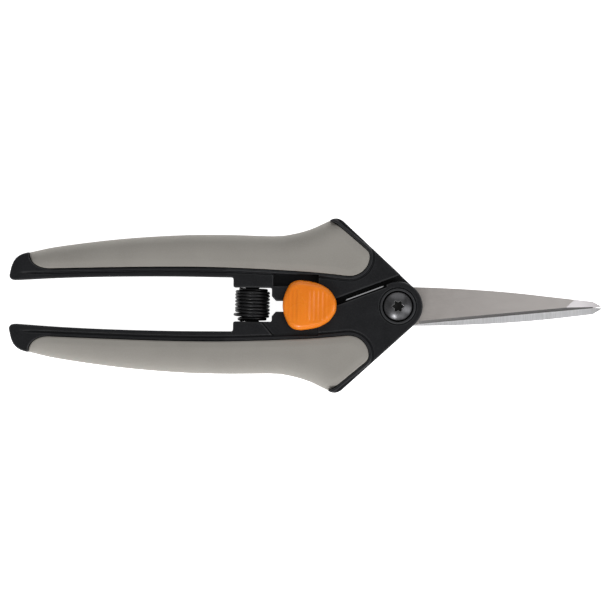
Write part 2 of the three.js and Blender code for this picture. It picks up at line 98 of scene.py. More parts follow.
# The two layers of a handle, which lap at the pivot, and the web that carries the soft grip.
LAP = 0.1
LAYER_ROOT = 2.4
NOSE_RADIUS = 6.85
FACE_DROP = 0.1
FACE_EDGE = 0.45
PARTING_GAP = 0.15
WEB_HALF = 3.0
WEB_INSET = 0.8
WEB_REACH = 1.3

# The slot between the handles beside the pivot, and the ledge in its wall.
SLOT_ANGLE = math.radians(20.8)
SLOT_NEAR = 6.46
SLOT_FAR = 7.92
TANG_EDGE = 6.74
LEDGE_WIDTH = 0.42
LEDGE_HEIGHT = 2.45
LEDGE_START = -22.0
LEDGE_END = -1.0

# The seat of the spring, its bosses, and the tab of each handle beside it.
SEAT = 4.7
SEAT_LEFT = -45.7
SEAT_RIGHT = -35.0
BOSS_RADIUS = 1.85
BOSS_HEIGHT = 1.5
BOSS_TAPER = 0.17
UPPER_TAB = 1.1
LOWER_TAB = 1.85

# The screw, and the bores and collar round it.
SHANK_RADIUS = 2.0
SHANK_GAP = 0.3
THREAD_RADIUS = 1.6
COUNTERBORE_RADIUS = 4.3
COUNTERBORE_FLOOR = 4.2
COLLAR_RADIUS = 4.95

# The spring: even, close coils but for one.
SPRING_COILS = 10
SPRING_WIRE = 0.42
SPRING_END = 3.2
SPRING_SWELL = 1.25

# The lock: a button with a leg that catches in the upper handle and a stem that runs in the lower one.
LOCK_TRAVEL = 4.0
BUTTON_BASE = 5.8
BUTTON_CREST = -26.6
LEG = {"x": -25.5, "y": 6.05, "width": 3.0, "depth": 1.2, "foot": 2.6}
STEM = {"x": -23.0, "y": -4.6, "width": 3.0, "depth": 1.8}
PIN_RADIUS = 0.75

# ---- curves ----------------------------------------------


def bezier(*points, count=12):
    """Points along a quadratic or cubic Bezier curve, without its last point."""
    degree = len(points) - 1
    controls = np.array(points, float)
    t = np.arange(count)[:, None] / count
    total = np.zeros((count, 2))
    for i, control in enumerate(controls):
        total += math.comb(degree, i) * t**i * (1 - t) ** (degree - i) * control
    return total


def smooth_through(*points, count=8):
    """Points along a Catmull-Rom curve through the given ones, without the last one."""
    knots = np.array(points, float)
    padded = np.vstack([2 * knots[0] - knots[1], knots, 2 * knots[-1] - knots[-2]])
    t = np.arange(count)[:, None] / count
    runs = []
    for a, b, c, d in zip(padded, padded[1:], padded[2:], padded[3:]):
        curve = 2 * b + (c - a) * t + (2 * a - 5 * b + 4 * c - d) * t**2
        runs.append(0.5 * (curve + (3 * b - a - 3 * c + d) * t**3))
    return np.vstack(runs)


def arc(radius, start, end, count):
    """Points along an arc about the pivot, from one angle to another."""
    angles = np.linspace(start, end, count)
    return radius * np.stack([np.cos(angles), np.sin(angles)], axis=1)


def slot_point(along, out, side):
    """A point given along and out from the parting slot, above (1) or below (-1) the centre line."""
    x = along * math.cos(SLOT_ANGLE) - out * math.sin(SLOT_ANGLE)
    y = along * math.sin(SLOT_ANGLE) + out * math.cos(SLOT_ANGLE)
    return (x, side * y)


def slot_at_height(height, out, side):
    """The point of a line beside the slot that has the given y."""
    along = (side * height - out * math.cos(SLOT_ANGLE)) / math.sin(SLOT_ANGLE)
    return slot_point(along, out, side)


# ---- plan outlines of the upper handle -------------------

GRIP_START = (-102.5, 13.85)
TAIL_TURN = (-96.9, 9.4)
WAIST = (-35.0, 19.15)
WIDE_INNER = (-14.4, 8.3)
WIDE_END = (-8.0, 13.2)
WIDE_OUTER = (-9.2, 15.85)
GRIP_END = (-19.2, 23.6)
SHOULDER = (-15.4, 23.45)
HEEL = (-106.2, 6.05)
TAIL_END = (-107.85, 7.4)


def back_edge():
    """The outer edge under the soft grip, from the tail to the shoulder."""
    return smooth_through(
        GRIP_START, (-94, 15.65), (-77.3, 17.85), (-60.6, 19.1), (-47, 19.35),
        WAIST, (-30, 19.65), (-24.5, 21.15), GRIP_END,
    )


def parting_edge():
    """The line where the soft grip meets the core, from the tail round the wide end to the shoulder."""
    return np.vstack([
        bezier(GRIP_START, (-102.5, 11.3), (-100.2, 9.45), TAIL_TURN),
        smooth_through(
            TAIL_TURN, (-84, 9.8), (-67.4, 10.2), (-52, 10.28),
            (-38.2, 9.9), (-26, 9.3), (-20, 8.85), WIDE_INNER,
        ),
        bezier(WIDE_INNER, (-10.9, 7.9), (-8.3, 10.3), WIDE_END),
        bezier(WIDE_END, (-7.9, 14.6), (-8.3, 15.1), WIDE_OUTER, count=8),
        [WIDE_OUTER, (-17.2, 22.6)],
    ])


def grip_plan():
    """The soft grip's own outline."""
    return np.vstack([parting_edge(), [GRIP_END], back_edge()[:0:-1]])


def grip_side():
    """The grip's side of the parting line, carried out past the handle's outer edge."""
    past = 4.0
    outward = back_edge()[::-1] + np.array([0.0, past])
    return np.vstack([
        [(GRIP_START[0] - 0.35, GRIP_START[1] + past)],
        parting_edge(),
        [GRIP_END, (GRIP_END[0] + 0.6, GRIP_END[1] + past)],
        outward,
    ])


def handle_back():
    """The handle's outline from the spring round the tail to the shoulder."""
    inner = smooth_through((-46.3, 7.5), (-63, 7.56), (-80, 7.3), (-93.8, 6.8), HEEL)
    heel = bezier(HEEL, (-107.75, 6.0), TAIL_END, count=8)
    tail = bezier(TAIL_END, (-107.2, 10.7), (-106.8, 13.1), GRIP_START, count=16)
    tip = bezier(GRIP_END, (-17.4, 24.9), SHOULDER, count=8)
    return np.vstack([inner, heel, tail, back_edge(), tip, [SHOULDER]])


def spring_seat(tab):
    """The handle's outline round the spring, from the tab to the tail side. Corners are cut or stepped."""
    return [
        (SEAT_RIGHT + 1.15, tab),
        (SEAT_RIGHT, tab + 1.3),
        (SEAT_RIGHT, SEAT - 0.3),
        (SEAT_RIGHT - 0.3, SEAT),
        (SEAT_LEFT + 0.5, SEAT),
        (SEAT_LEFT + 0.12, SEAT + 0.12),
        (SEAT_LEFT, SEAT + 0.5),
        (SEAT_LEFT, 6.95),
        (SEAT_LEFT - 0.15, 7.35),
    ]


def shoulder_tangent():
    """The angle at which the straight edge from the shoulder meets the round nose."""
    return math.atan2(SHOULDER[1], SHOULDER[0]) - math.acos(NOSE_RADIUS / math.hypot(*SHOULDER))


def pivot_layer(tab):
    """Plan of the layer that carries the pivot plate."""
    swing = math.acos(SLOT_NEAR / NOSE_RADIUS)
    wall_end = -(math.pi / 2 + SLOT_ANGLE + swing)
    return np.vstack([
        handle_back(),
        arc(NOSE_RADIUS, shoulder_tangent(), wall_end, count=60),
        [slot_at_height(tab, SLOT_NEAR, -1)],
        spring_seat(tab),
    ])


def lapped_layer(tab):
    """Plan of the layer that the other handle's pivot plate laps."""
    angle = shoulder_tangent()
    edge = (NOSE_RADIUS * math.cos(angle), NOSE_RADIUS * math.sin(angle))
    slope = (SHOULDER[1] - edge[1]) / (SHOULDER[0] - edge[0])
    wall = slot_point(0, SLOT_FAR, 1)
    rise = math.tan(SLOT_ANGLE)
    x = (wall[1] - rise * wall[0] - SHOULDER[1] + slope * SHOULDER[0]) / (slope - rise)
    return np.vstack([
        handle_back(),
        [(x, wall[1] + rise * (x - wall[0]))],
        [slot_at_height(tab, SLOT_FAR, 1)],
        spring_seat(tab),
    ])


def tang_plan():
    """Plan of the rear blade's root, for its pocket in the core."""
    spine = [(12, -5.18), (5, -5.38), (-1.2, -5.45)]
    shown = [slot_point(-1.9, TANG_EDGE, -1), slot_point(-12.66, TANG_EDGE, -1)]
    tail = [(-15.4, 0.2), (-17.6, 7.4), (-26.0, 11.4), (-24.8, 14.4)]
    edge = [(-14.0, 11.4), (-2.0, 6.0), (3.0, 5.4), (12, 4.2)]
    return np.vstack([spine, shown, tail, edge])


def button_plan():
    """Plan of the lock button, blunt towards the spring and narrowing towards the pivot."""
    corner = (-30.5, 5.1)
    widest = (-26.9, 6.92)
    nose = (-17.45, 2.1)
    upper = np.vstack([
        bezier((BUTTON_LEFT, 0), (BUTTON_LEFT, 2.0), (-31.1, 3.9), corner),
        bezier(corner, (-29.9, 6.3), (-28.6, 6.95), widest),
        smooth_through(widest, (-24.2, 6.55), (-21.45, 5.8), (-18.95, 4.2), nose),
        bezier(nose, (BUTTON_RIGHT, 1.2), (BUTTON_RIGHT, 0)),
        [(BUTTON_RIGHT, 0)],
    ])
    lower = upper[-2:0:-1] * np.array([1, -1])
    return np.vstack([upper, lower])


# ---- distance fields -------------------------------------


def spaced(*runs):
    """Grid lines from runs of (start, end, step)."""
    lines = [np.arange(start, end - step * 0.4, step) for start, end, step in runs]
    return np.concatenate([*lines, [runs[-1][1]]]).astype(np.float32)


def outline_distance(x, y, outline):
    """Signed distance from each point to a closed outline, negative inside."""
    nearest = np.full(x.shape, 1e9, np.float32)
    inside = np.zeros(x.shape, bool)
    for (ax, ay), (bx, by) in zip(outline, np.roll(outline, -1, axis=0)):
        dx, dy = bx - ax, by - ay
        length = dx * dx + dy * dy
        if length < 1e-12:
            continue
        share = np.clip(((x - ax) * dx + (y - ay) * dy) / length, 0, 1)
        nearest = np.minimum(nearest, (x - ax - share * dx) ** 2 + (y - ay - share * dy) ** 2)
        if abs(dy) > 1e-12:
            crossed = (ay > y) != (by > y)
            inside ^= crossed & (x < ax + (y - ay) * dx / dy)
    distance = np.sqrt(nearest)
    return np.where(inside, -distance, distance).astype(np.float32)


def line_distance(x, y, start, end):
    """Distance from each point to a straight line between two points."""
    dx, dy = end[0] - start[0], end[1] - start[1]
    share = np.clip(((x - start[0]) * dx + (y - start[1]) * dy) / (dx * dx + dy * dy), 0, 1)
    return np.hypot(x - start[0] - share * dx, y - start[1] - share * dy)


def ramp(value, start, end):
    """Goes smoothly from 0 at start to 1 at end."""
    t = np.clip((value - start) / (end - start), 0, 1)
    return t * t * (3 - 2 * t)


def both(a, b, radius=0.0):
    """The space inside both fields, with its edge rounded."""
    if radius == 0:
        return np.maximum(a, b)
    corner = np.hypot(np.maximum(a + radius, 0), np.maximum(b + radius, 0))
    return np.minimum(np.maximum(a, b), -radius) + corner


def either(a, b, radius=0.0):
    """The space inside either field, with a fillet between them."""
    return -both(-a, -b, radius)


def without(a, b, radius=0.0):
    """The space inside the first field and outside the second."""
    return both(a, -b, radius)


def box_field(x, y, z, low, high, radius=0.0):
    """A box from its low and high corners; None leaves a side open."""
    field = None
    for value, start, end in zip((x, y, z), low, high):
        sides = []
        if start is not None:
            sides.append(start - value)
        if end is not None:
            sides.append(value - end)
        for side in sides:
            field = side if field is None else both(field, side, radius)
    return field


CUBE_CORNERS = [(a, b, c) for a in (0, 1) for b in (0, 1) for c in (0, 1)]
CUBE_EDGES = [
    (p, q) for p in CUBE_CORNERS for q in CUBE_CORNERS
    if sum(q) - sum(p) == 1 and np.all(np.array(q) >= p)
]


def surface_net(field, xs, ys, zs):
    """The zero surface of a sampled field: one vertex in each cell that it crosses, joined by quads."""
    inside = field < 0
    size = np.array(field.shape) - 1
    count = np.zeros(size, np.int8)
    for a, b, c in CUBE_CORNERS:
        count += inside[a : a + size[0], b : b + size[1], c : c + size[2]]
    cells = np.argwhere((count > 0) & (count < 8))
    number = np.full(size, -1, np.int32)
    number[tuple(cells.T)] = np.arange(len(cells))
    total = np.zeros((len(cells), 3))
    hits = np.zeros((len(cells), 1))
    for start, end in CUBE_EDGES:
        at_start = tuple((cells + start).T)
        at_end = tuple((cells + end).T)
        value, other = field[at_start], field[at_end]
        crossed = (value < 0) != (other < 0)
        share = np.where(crossed, value / np.where(crossed, value - other, 1), 0)[:, None]
        first = np.stack([xs[at_start[0]], ys[at_start[1]], zs[at_start[2]]], axis=1)
        second = np.stack([xs[at_end[0]], ys[at_end[1]], zs[at_end[2]]], axis=1)
        total += crossed[:, None] * (first + (second - first) * share)
        hits += crossed[:, None]
    faces = []
    for axis in range(3):
        u, w = (axis + 1) % 3, (axis + 2) % 3
        here = np.take(inside, np.arange(size[axis]), axis=axis)
        ahead = np.take(inside, np.arange(1, size[axis] + 1), axis=axis)
        edges = np.argwhere(here != ahead)
        keep = (edges[:, u] > 0) & (edges[:, w] > 0) & (edges[:, u] < size[u]) & (edges[:, w] < size[w])
        edges = edges[keep]
        quad = []
        for du, dw in ((0, 0), (-1, 0), (-1, -1), (0, -1)):
            cell = edges.copy()
            cell[:, u] += du
            cell[:, w] += dw
            quad.append(number[tuple(cell.T)])
        quad = np.stack(quad, axis=1)
        backward = ~here[tuple(edges.T)]
        quad[backward] = quad[backward][:, ::-1]
        faces.append(quad)
    return total / hits, np.vstack(faces)


# ---- pieces ----------------------------------------------


def half_turn(vertices):
    """Carries the upper handle's shape to the lower handle."""
    return vertices * np.array([1.0, -1.0, -1.0])


def curvature_for_painted_light(vertices, quads):
    """How sharply each vertex stands out: 0.5 on flat ground, towards 1 on edges and 0 in hollows; the
    finishes paint highlights on edges and shade in hollows from it.
    """
    corners = vertices[quads]
    across = np.cross(corners[:, 2] - corners[:, 0], corners[:, 3] - corners[:, 1])
    normals = np.zeros_like(vertices)
    for k in range(4):
        for axis in range(3):
            normals[:, axis] += np.bincount(quads[:, k], across[:, axis], len(vertices))
    normals /= np.linalg.norm(normals, axis=1, keepdims=True) + 1e-12
    start = quads.ravel()
    end = np.roll(quads, -1, axis=1).ravel()
    step = vertices[end] - vertices[start]
    count = np.maximum(np.bincount(start, minlength=len(vertices)), 1)
    drop = np.bincount(start, -np.sum(step * normals[start], axis=1), len(vertices))
    spread = np.bincount(start, np.sum(step * step, axis=1), len(vertices))
    bend = drop / (spread + 1e-6)
    for _ in range(4):
        around = np.bincount(start, bend[end], len(vertices)) / count
        bend = 0.4 * bend + 0.6 * around
    return np.clip(0.5 + bend / 2, 0, 1)


def add_piece(name, vertices, faces, body, paint, node=None):
    """Makes a mesh from millimetres, puts it on its body and lets it stand for its CAD node.

    Faces come as an array of quads, which get the curvature attribute that paints edge highlights and
    hollow shade, or as a list of mixed faces, which don't.
    """
    mesh = bpy.data.meshes.new(name)
    placed = (np.array(vertices) + np.array([0, 0, BLADE_PLANE])) * MM
    mesh.from_pydata(placed.tolist(), [], faces if isinstance(faces, list) else faces.tolist())
    mesh.materials.append(paint)
    mesh.polygons.foreach_set("use_smooth", np.ones(len(mesh.polygons), bool))
    if not isinstance(faces, list):
        # the curvature, from which the finishes paint highlights on edges and shade in hollows
        painted_light_curvature = mesh.attributes.new("painted_light_curvature", "FLOAT", "POINT")
        painted_light_curvature.data.foreach_set("value", curvature_for_painted_light(np.array(vertices, float), faces).astype(np.float32))
    piece = bpy.data.objects.new(name, mesh)
    bpy.context.scene.collection.objects.link(piece)
    if body:
        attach(piece, body)
    paint.name.split(".")[0]
    if node:
        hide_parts(node)
    return piece


def relief(x, y, from_grip):
    """Height of the core's face: a raised rim hugs the grip, with a fine groove outside it.

    At the tail the groove leaves the grip and runs straight on to the end of the handle.
    """
    rim_height, rim_top, rim_foot = 0.32, 0.72, 1.12
    groove_depth, groove_at, groove_width = 0.3, 1.26, 0.19
    tail_height = 0.16
    straight = TAIL_TURN[1] + 0.02 * (x - TAIL_TURN[0]) - y
    from_rim = np.where(x < TAIL_TURN[0], straight, from_grip)
    fade = ramp(x, -106.0, -101.0)
    rim = rim_height * ramp(from_rim, rim_foot, rim_top)
    groove = groove_depth * np.exp(-(((from_rim - groove_at) / groove_width) ** 2))
    return (rim - groove) * fade + tail_height * (1 - fade)


def with_collar(layer, from_pivot, z):
    """Adds the raised collar round the counterbore, with a narrow groove outside it."""
    groove_at, groove_half, groove_depth = COLLAR_RADIUS + 0.1, 0.14, 0.4
    collar_depth = 0.8
    channel = np.abs(from_pivot - groove_at) - groove_half
    layer = without(layer, both(channel, z + FACE - groove_depth), 0.05)
    middle = (COUNTERBORE_RADIUS + COLLAR_RADIUS) / 2
    collar = np.abs(from_pivot - middle) - (COLLAR_RADIUS - COUNTERBORE_RADIUS) / 2
    collar = both(collar, both(-z - COLLAR_TOP, z + FACE - collar_depth), 0.15)
    return np.minimum(layer, collar)


def spring_boss(x, y, z):
    """The tapered peg that centres one end of the spring."""
    sunk = 0.5
    boss = np.hypot(x - SPRING_X, z) - BOSS_RADIUS + BOSS_TAPER * (SEAT - y)
    return both(boss, both(SEAT - BOSS_HEIGHT - y, y - SEAT - sunk), 0.3)


def with_tang_pocket(body, x, y, z, plan):
    """Cuts the pocket for the tang. Where the slot crosses the tang, a skin of plastic covers it."""
    gap, pocket_top = 0.08, 0.5
    skin_top, skin_depth = -0.02, 1
    near_margin, far_margin = 0.5, 0.2
    tang = outline_distance(x, y, tang_plan())[:, :, None]
    out = -x * math.sin(SLOT_ANGLE) + y * math.cos(SLOT_ANGLE)
    crossing = both(SLOT_NEAR - near_margin - out, out - SLOT_FAR - far_margin)
    skin = both(both(crossing, plan)[:, :, None], both(z - skin_top, -z - skin_depth))
    pocket = both(tang - gap, both(-z - BLADE_BACK - gap, z - pocket_top))
    pocket = without(pocket, crossing[:, :, None])
    return without(np.minimum(body, skin), pocket)


def core_field(xs, ys, zs, tab):
    """The hard core that both handles share, drawn as the upper handle."""
    x, y = np.meshgrid(xs, ys, indexing="ij")
    z3 = zs[None, None, :]
    from_grip = outline_distance(x, y, grip_side())
    pivot_plan = outline_distance(x, y, pivot_layer(tab))
    lapped_plan = outline_distance(x, y, lapped_layer(tab))
    from_pivot = np.hypot(x, y)[:, :, None]
    height = (FACE - FACE_DROP + relief(x, y, from_grip))[:, :, None]
    rear = both(both(pivot_plan[:, :, None], -z3 - height, FACE_EDGE), z3 + LAP)
    rear = with_collar(rear, from_pivot, z3)
    front = both(both(lapped_plan[:, :, None], z3 - height, FACE_EDGE), -z3 - LAYER_ROOT)
    body = np.minimum(rear, front)
    gap = PARTING_GAP * ramp(-pivot_plan, 0.3, 1.5)
    body = without(body, (from_grip - gap)[:, :, None], 0.1)
    web_root = 0.5
    web = both(both(pivot_plan + WEB_INSET, -from_grip - WEB_REACH), from_grip - web_root)[:, :, None]
    body = np.minimum(body, both(web, np.abs(z3) - WEB_HALF))
    body = either(body, spring_boss(x[:, :, None], y[:, :, None], z3), 0.25)
    body = without(body, both(from_pivot - COUNTERBORE_RADIUS, z3 + COUNTERBORE_FLOOR), 0.1)
    body = without(body, both(from_pivot - SHANK_RADIUS - SHANK_GAP, z3 - 1))
    return with_tang_pocket(body, x, y, z3, pivot_plan)


def core_grid():
    """Grid lines for a core, closest where it has small features and at its two faces."""
    fine = 0.14
    xs = spaced((-108.6, -96, fine), (-96, -48, 0.4), (-48, 9.6, fine))
    ys = spaced((-7.6, 25.4, fine))
    zs = spaced((-6.5, -4.9, 0.13), (-4.9, -2.4, 0.36), (-2.4, 0.3, 0.2), (0.3, 4.9, 0.4), (4.9, 6.3, 0.13))
    return xs, ys, zs


def lock_gate(x, y, z, floor):
    """The curved gate that the button's leg passes as the handles turn about the pivot."""
    gap = 0.25
    gate_side = 6.0
    radius = np.hypot(x, y)
    near = math.hypot(LEG["x"] + LEG["width"] / 2, LEG["y"] - LEG["depth"] / 2) - gap
    far = math.hypot(LEG["x"] - LEG["width"] / 2, LEG["y"] + LEG["depth"] / 2) + gap
    return both(both(near - radius, radius - far), both(floor - z, both(x, y - gate_side)))


def upper_core(paint):
    """The upper handle's core, with a pocket and a gate in its face for the button's leg."""
    xs, ys, zs = core_grid()
    field = core_field(xs, ys, zs, UPPER_TAB)
    x, y, z = np.meshgrid(xs, ys, zs, indexing="ij", sparse=True)
    floor = LEG["foot"] - 0.4
    pocket = box_field(x, y, z, (-34.67, 5.18, floor), (-22.05, 8.51, None), 0.15)
    field = without(field, pocket, 0.1)
    field = without(field, lock_gate(x, y, z, floor), 0.1)
    vertices, faces = surface_net(field, xs, ys, zs)
    add_piece("upper_core_moulding", vertices, faces, "upper_half", paint, "upper_handle_core")


def guide_slot(x, y, z):
    """The slot right through the lower core that the button's stem slides in."""
    end_gap, side_gap = 0.25, 0.2
    left = STEM["x"] - STEM["width"] / 2 - LOCK_TRAVEL - end_gap
    right = STEM["x"] + STEM["width"] / 2 + end_gap
    low = -STEM["y"] - STEM["depth"] / 2 - side_gap
    high = -STEM["y"] + STEM["depth"] / 2 + side_gap
    return box_field(x, y, z, (left, low, None), (right, high, None), 0.3)


def slot_ledge(x, y, z):
    """A step in the wall of the parting slot, beside the tang of the blade."""
    along = x * math.cos(SLOT_ANGLE) - y * math.sin(SLOT_ANGLE)
    out = -x * math.sin(SLOT_ANGLE) - y * math.cos(SLOT_ANGLE)
    length = both(LEDGE_START - along, along - LEDGE_END)
    ledge = both(np.abs(out - SLOT_NEAR) - LEDGE_WIDTH, length)[:, :, None]
    return both(ledge, z + LEDGE_HEIGHT)


def lower_core(paint):
    """The lower handle's core, with its guide slot, the retainer's well and a sunk panel under the button.

    It is drawn as the upper handle, so its front is on the low side of z until the half turn at the end.
    """
    xs, ys, zs = core_grid()
    field = core_field(xs, ys, zs, LOWER_TAB)
    x, y, z = np.meshgrid(xs, ys, zs, indexing="ij", sparse=True)
    well = box_field(x, y, z, (-30.6, 2.6, 4.2), (-19.4, 6.6, None), 0.3)
    plan_x, plan_y = np.meshgrid(xs, ys, indexing="ij")
    panel_plan = [(-38.1, 4.4), (-34.6, 8.45), (-22.0, 8.45), (-22.0, -3.0), (-38.2, -3.0)]
    panel_depth, seam_depth, seam_half = 0.5, 0.85, 0.15
    panel = outline_distance(plan_x, plan_y, np.array(panel_plan))[:, :, None]
    panel = both(panel, z + FACE - panel_depth, 0.08)
    seam = line_distance(plan_x, plan_y, panel_plan[0], panel_plan[1])[:, :, None] - seam_half
    field = without(without(without(field, guide_slot(x, y, z)), well, 0.1), panel, 0.08)
    field = without(field, slot_ledge(plan_x, plan_y, z), 0.05)
    field = without(field, both(seam, z + FACE - seam_depth), 0.05)
    vertices, faces = surface_net(field, xs, ys, zs)
    vertices = half_turn(vertices)
    add_piece("lower_core_moulding", vertices, faces, "lower_half", paint, "lower_handle_core")


def grip_mesh():
    """The soft grip: full against the core, and rounding away to the outer edge."""
    xs = spaced((-104.4, -96, 0.2), (-96, -36, 0.45), (-36, -6.9, 0.2))
    ys = spaced((7.2, 24.8, 0.2))
    zs = spaced((-6.9, -5.0, 0.16), (-5.0, 5.0, 0.4), (5.0, 6.9, 0.16))
    x, y = np.meshgrid(xs, ys, indexing="ij")
    plan = outline_distance(x, y, grip_plan())
    inner = outline_distance(x, y, grip_side())
    far_round = [GRIP_END, (0, 32.5), (0, -20), (-130, -20), (-130, 8.6)]
    outer = outline_distance(x, y, np.vstack([back_edge(), far_round]))
    side_reach, side_power, to_millimetres = 6.2, 2.5, 4.5
    edge = np.clip((side_reach + outer) / side_reach, 0, 1)[:, :, None]
    lip = 0.32 * (1 - ramp(-inner, 0.0, 2.2)) + 0.2 * (1 - ramp(-inner, 0.0, 0.45))
    crown = (GRIP_CROWN - lip)[:, :, None]
    z3 = np.abs(zs)[None, None, :]
    rounded = (edge**side_power + (z3 / crown) ** side_power) ** (1 / side_power)
    field = (rounded - 1) * to_millimetres
    field = both(field, plan[:, :, None])
    field = both(field, (inner + 0.02)[:, :, None], 0.06)
    web_gap = 0.05
    rebate = both(-inner - WEB_REACH - web_gap, outer + WEB_INSET - web_gap)[:, :, None]
    rebate = both(rebate, z3 - WEB_HALF - web_gap)
    return surface_net(without(field, rebate), xs, ys, zs)


def grips(paint):
    """Both soft grips, from one mesh."""
    vertices, faces = grip_mesh()
    add_piece("upper_soft_grip", vertices, faces, "upper_half", paint, "upper_grip")
    add_piece("lower_soft_grip", half_turn(vertices), faces, "lower_half", paint, "lower_grip")


def ridges(x, start, end, pitch):
    """Fine ridges between two lines across the button, rising from 0 to 1."""
    wave = 0.5 - 0.5 * np.cos(2 * np.pi * (x - start) / pitch)
    return wave * (x > start) * (x < end)


def button_height(x, y):
    """Top of the lock button: a crest between two dished thumb rests, both finely ridged across."""
    rest_half, ridge_height = 4.9, 0.12
    dome = 0.014 * y**2
    across = np.clip(1 - (y / rest_half) ** 2, 0, 1)
    left_rest = 0.55 * across * ramp(-x, -BUTTON_CREST, 29.2) * ramp(x, -32.4, -30.0)
    right_rest = 0.6 * across * ramp(x, BUTTON_CREST + 0.6, BUTTON_CREST + 4.0) * ramp(-x, 16.9, 20.5)
    left_fall = 0.75 * ramp(-x, -BUTTON_CREST, 32.0)
    right_fall = 0.35 * ramp(x, BUTTON_CREST, BUTTON_RIGHT)
    bands = ridges(x, -30.6, -27.1, 1.16) + ridges(x, -25.4, -19.4, 1.2)
    ridged = ridge_height * bands * ramp(across, 0.1, 0.5)
    return BUTTON_TOP - dome - left_rest - right_rest - left_fall - right_fall + ridged


def bar(x, y, z, part, low, high):
    """A square bar of the lock, from its place, width and depth in plan, between two heights."""
    half_width, half_depth = part["width"] / 2, part["depth"] / 2
    return box_field(
        x, y, z,
        (part["x"] - half_width, part["y"] - half_depth, low),
        (part["x"] + half_width, part["y"] + half_depth, high),
        0.2,
    )


def lock_button(paint):
    """The thumb button, its catch leg, its guide stem and the pin that holds the retainer."""
    xs = spaced((BUTTON_LEFT - 0.4, BUTTON_RIGHT + 0.4, 0.1))
    ys = spaced((-7.3, 7.3, 0.12))
    zs = spaced((-5.7, -3.9, 0.15), (-3.9, 5.5, 0.6), (5.5, 9.1, 0.1))
    x, y = np.meshgrid(xs, ys, indexing="ij")
    plan = outline_distance(x, y, button_plan())[:, :, None]
    top = button_height(x, y)[:, :, None]
    x3, y3, z3 = x[:, :, None], y[:, :, None], zs[None, None, :]
    cap = both(plan, z3 - top, 1.5)
    cap = both(cap, BUTTON_BASE - z3, 0.25)
    root = BUTTON_BASE + 0.5
    stem_end, pin_root, pin_end = -4.35, -4.0, -5.45
    leg = bar(x3, y3, z3, LEG, LEG["foot"], root)
    stem = bar(x3, y3, z3, STEM, stem_end, root)
    from_stem = np.hypot(x3 - STEM["x"], y3 - STEM["y"])
    pin = both(from_stem - PIN_RADIUS, both(pin_end - z3, z3 - pin_root), 0.2)
    field = either(either(either(cap, leg, 0.1), stem, 0.1), pin)
    vertices, faces = surface_net(field, xs, ys, zs)
    add_piece("thumb_lock_button", vertices, faces, "lock", paint, "lock_button")


def lock_retainer(paint):
    """The plate on the button's pin, a rounded block as large as its CAD node."""
    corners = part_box("lock_retainer")
    low, high = (np.array(corner) / MM - np.array([0, 0, BLADE_PLANE]) for corner in corners)
    xs, ys, zs = (spaced((a - 0.3, b + 0.3, 0.08)) for a, b in zip(low, high))
    x, y, z = np.meshgrid(xs, ys, zs, indexing="ij", sparse=True)
    plate = box_field(x, y, z, (low[0], low[1], None), (high[0], high[1], None), 0.8)
    plate = both(plate, both(low[2] - z, z - high[2]), 0.18)
    hole = np.hypot(x - STEM["x"], y - STEM["y"]) - PIN_RADIUS - 0.05
    plate = without(plate, hole + 0 * z, 0.1)
    vertices, faces = surface_net(plate, xs, ys, zs)
    add_piece("guide_retainer", vertices, faces, "lock", paint, "lock_retainer")


def six_lobe(x, y):
    """Distance-like field of a six-lobed socket."""
    mean_radius, lobe = 1.36, 0.26
    angle = np.arctan2(y, x)
    return np.hypot(x, y) - (mean_radius + lobe * np.cos(6 * angle))


def pivot_screw(paint):
    """The shoulder screw: a low domed head with a six-lobed socket, a plain shank and a threaded end."""
    end = frame_mm("pivot_screw", 0, "z") - BLADE_PLANE
    head_rise, head_seat, shank_end, socket_floor = 1.35, 4.7, -4.0, 4.9
    xs = spaced((-4.3, 4.3, 0.075))
    zs = spaced((end - 0.4, end + 1.2, 0.12), (end + 1.2, 4.4, 0.5), (4.4, HEAD_TOP + 0.3, 0.075))
    x, y, z = np.meshgrid(xs, xs, zs, indexing="ij", sparse=True)
    radius = np.hypot(x, y)
    ball_radius = (HEAD_RADIUS**2 + head_rise**2) / (2 * head_rise)
    dome = np.sqrt(radius**2 + (z - HEAD_TOP + ball_radius) ** 2) - ball_radius
    head = both(both(radius - HEAD_RADIUS, dome, 0.12), head_seat - z, 0.1)
    head = without(head, both(six_lobe(x, y), socket_floor + 0.15 * radius - z), 0.07)
    shank = both(radius - SHANK_RADIUS, both(shank_end - z, z - socket_floor))
    thread = both(radius - THREAD_RADIUS, both(end - z, z - shank_end - 0.1), 0.35)
    field = either(either(head, shank), thread)
    vertices, faces = surface_net(field, xs, xs, zs)
    add_piece("pivot_screw_turned", vertices, faces, "lower_half", paint, "pivot_screw")


def pivot_nut(paint):
    """The hexagon nut, chamfered on the side that is seen."""
    low = frame_mm("pivot_nut", 0, "z") - BLADE_PLANE
    high = frame_mm("pivot_nut", 1, "z") - BLADE_PLANE
    face_radius, chamfer_slope, bore_gap = 3.25, 1.6, 0.08
    xs = spaced((-4.2, 4.2, 0.08))
    zs = spaced((low - 0.3, high + 0.3, 0.08))
    x, y, z = np.meshgrid(xs, xs, zs, indexing="ij", sparse=True)
    half_across = (frame_mm("pivot_nut", 1, "x") - frame_mm("pivot_nut", 0, "x")) / 2
    hexagon = None
    for k in range(3):
        angle = math.radians(60 * k)
        side = np.abs(x * math.cos(angle) + y * math.sin(angle)) - half_across
        hexagon = side if hexagon is None else np.maximum(hexagon, side)
    radius = np.hypot(x, y)
    chamfer = (radius - face_radius - chamfer_slope * (z - low)) * 0.5
    body = both(both(hexagon, both(low - z, z - high), 0.1), chamfer, 0.05)
    body = without(body, radius - THREAD_RADIUS - bore_gap + 0 * z, 0.12)
    vertices, faces = surface_net(body, xs, xs, zs)
    add_piece("pivot_nut_turned", vertices, faces, "lower_half", paint, "pivot_nut")


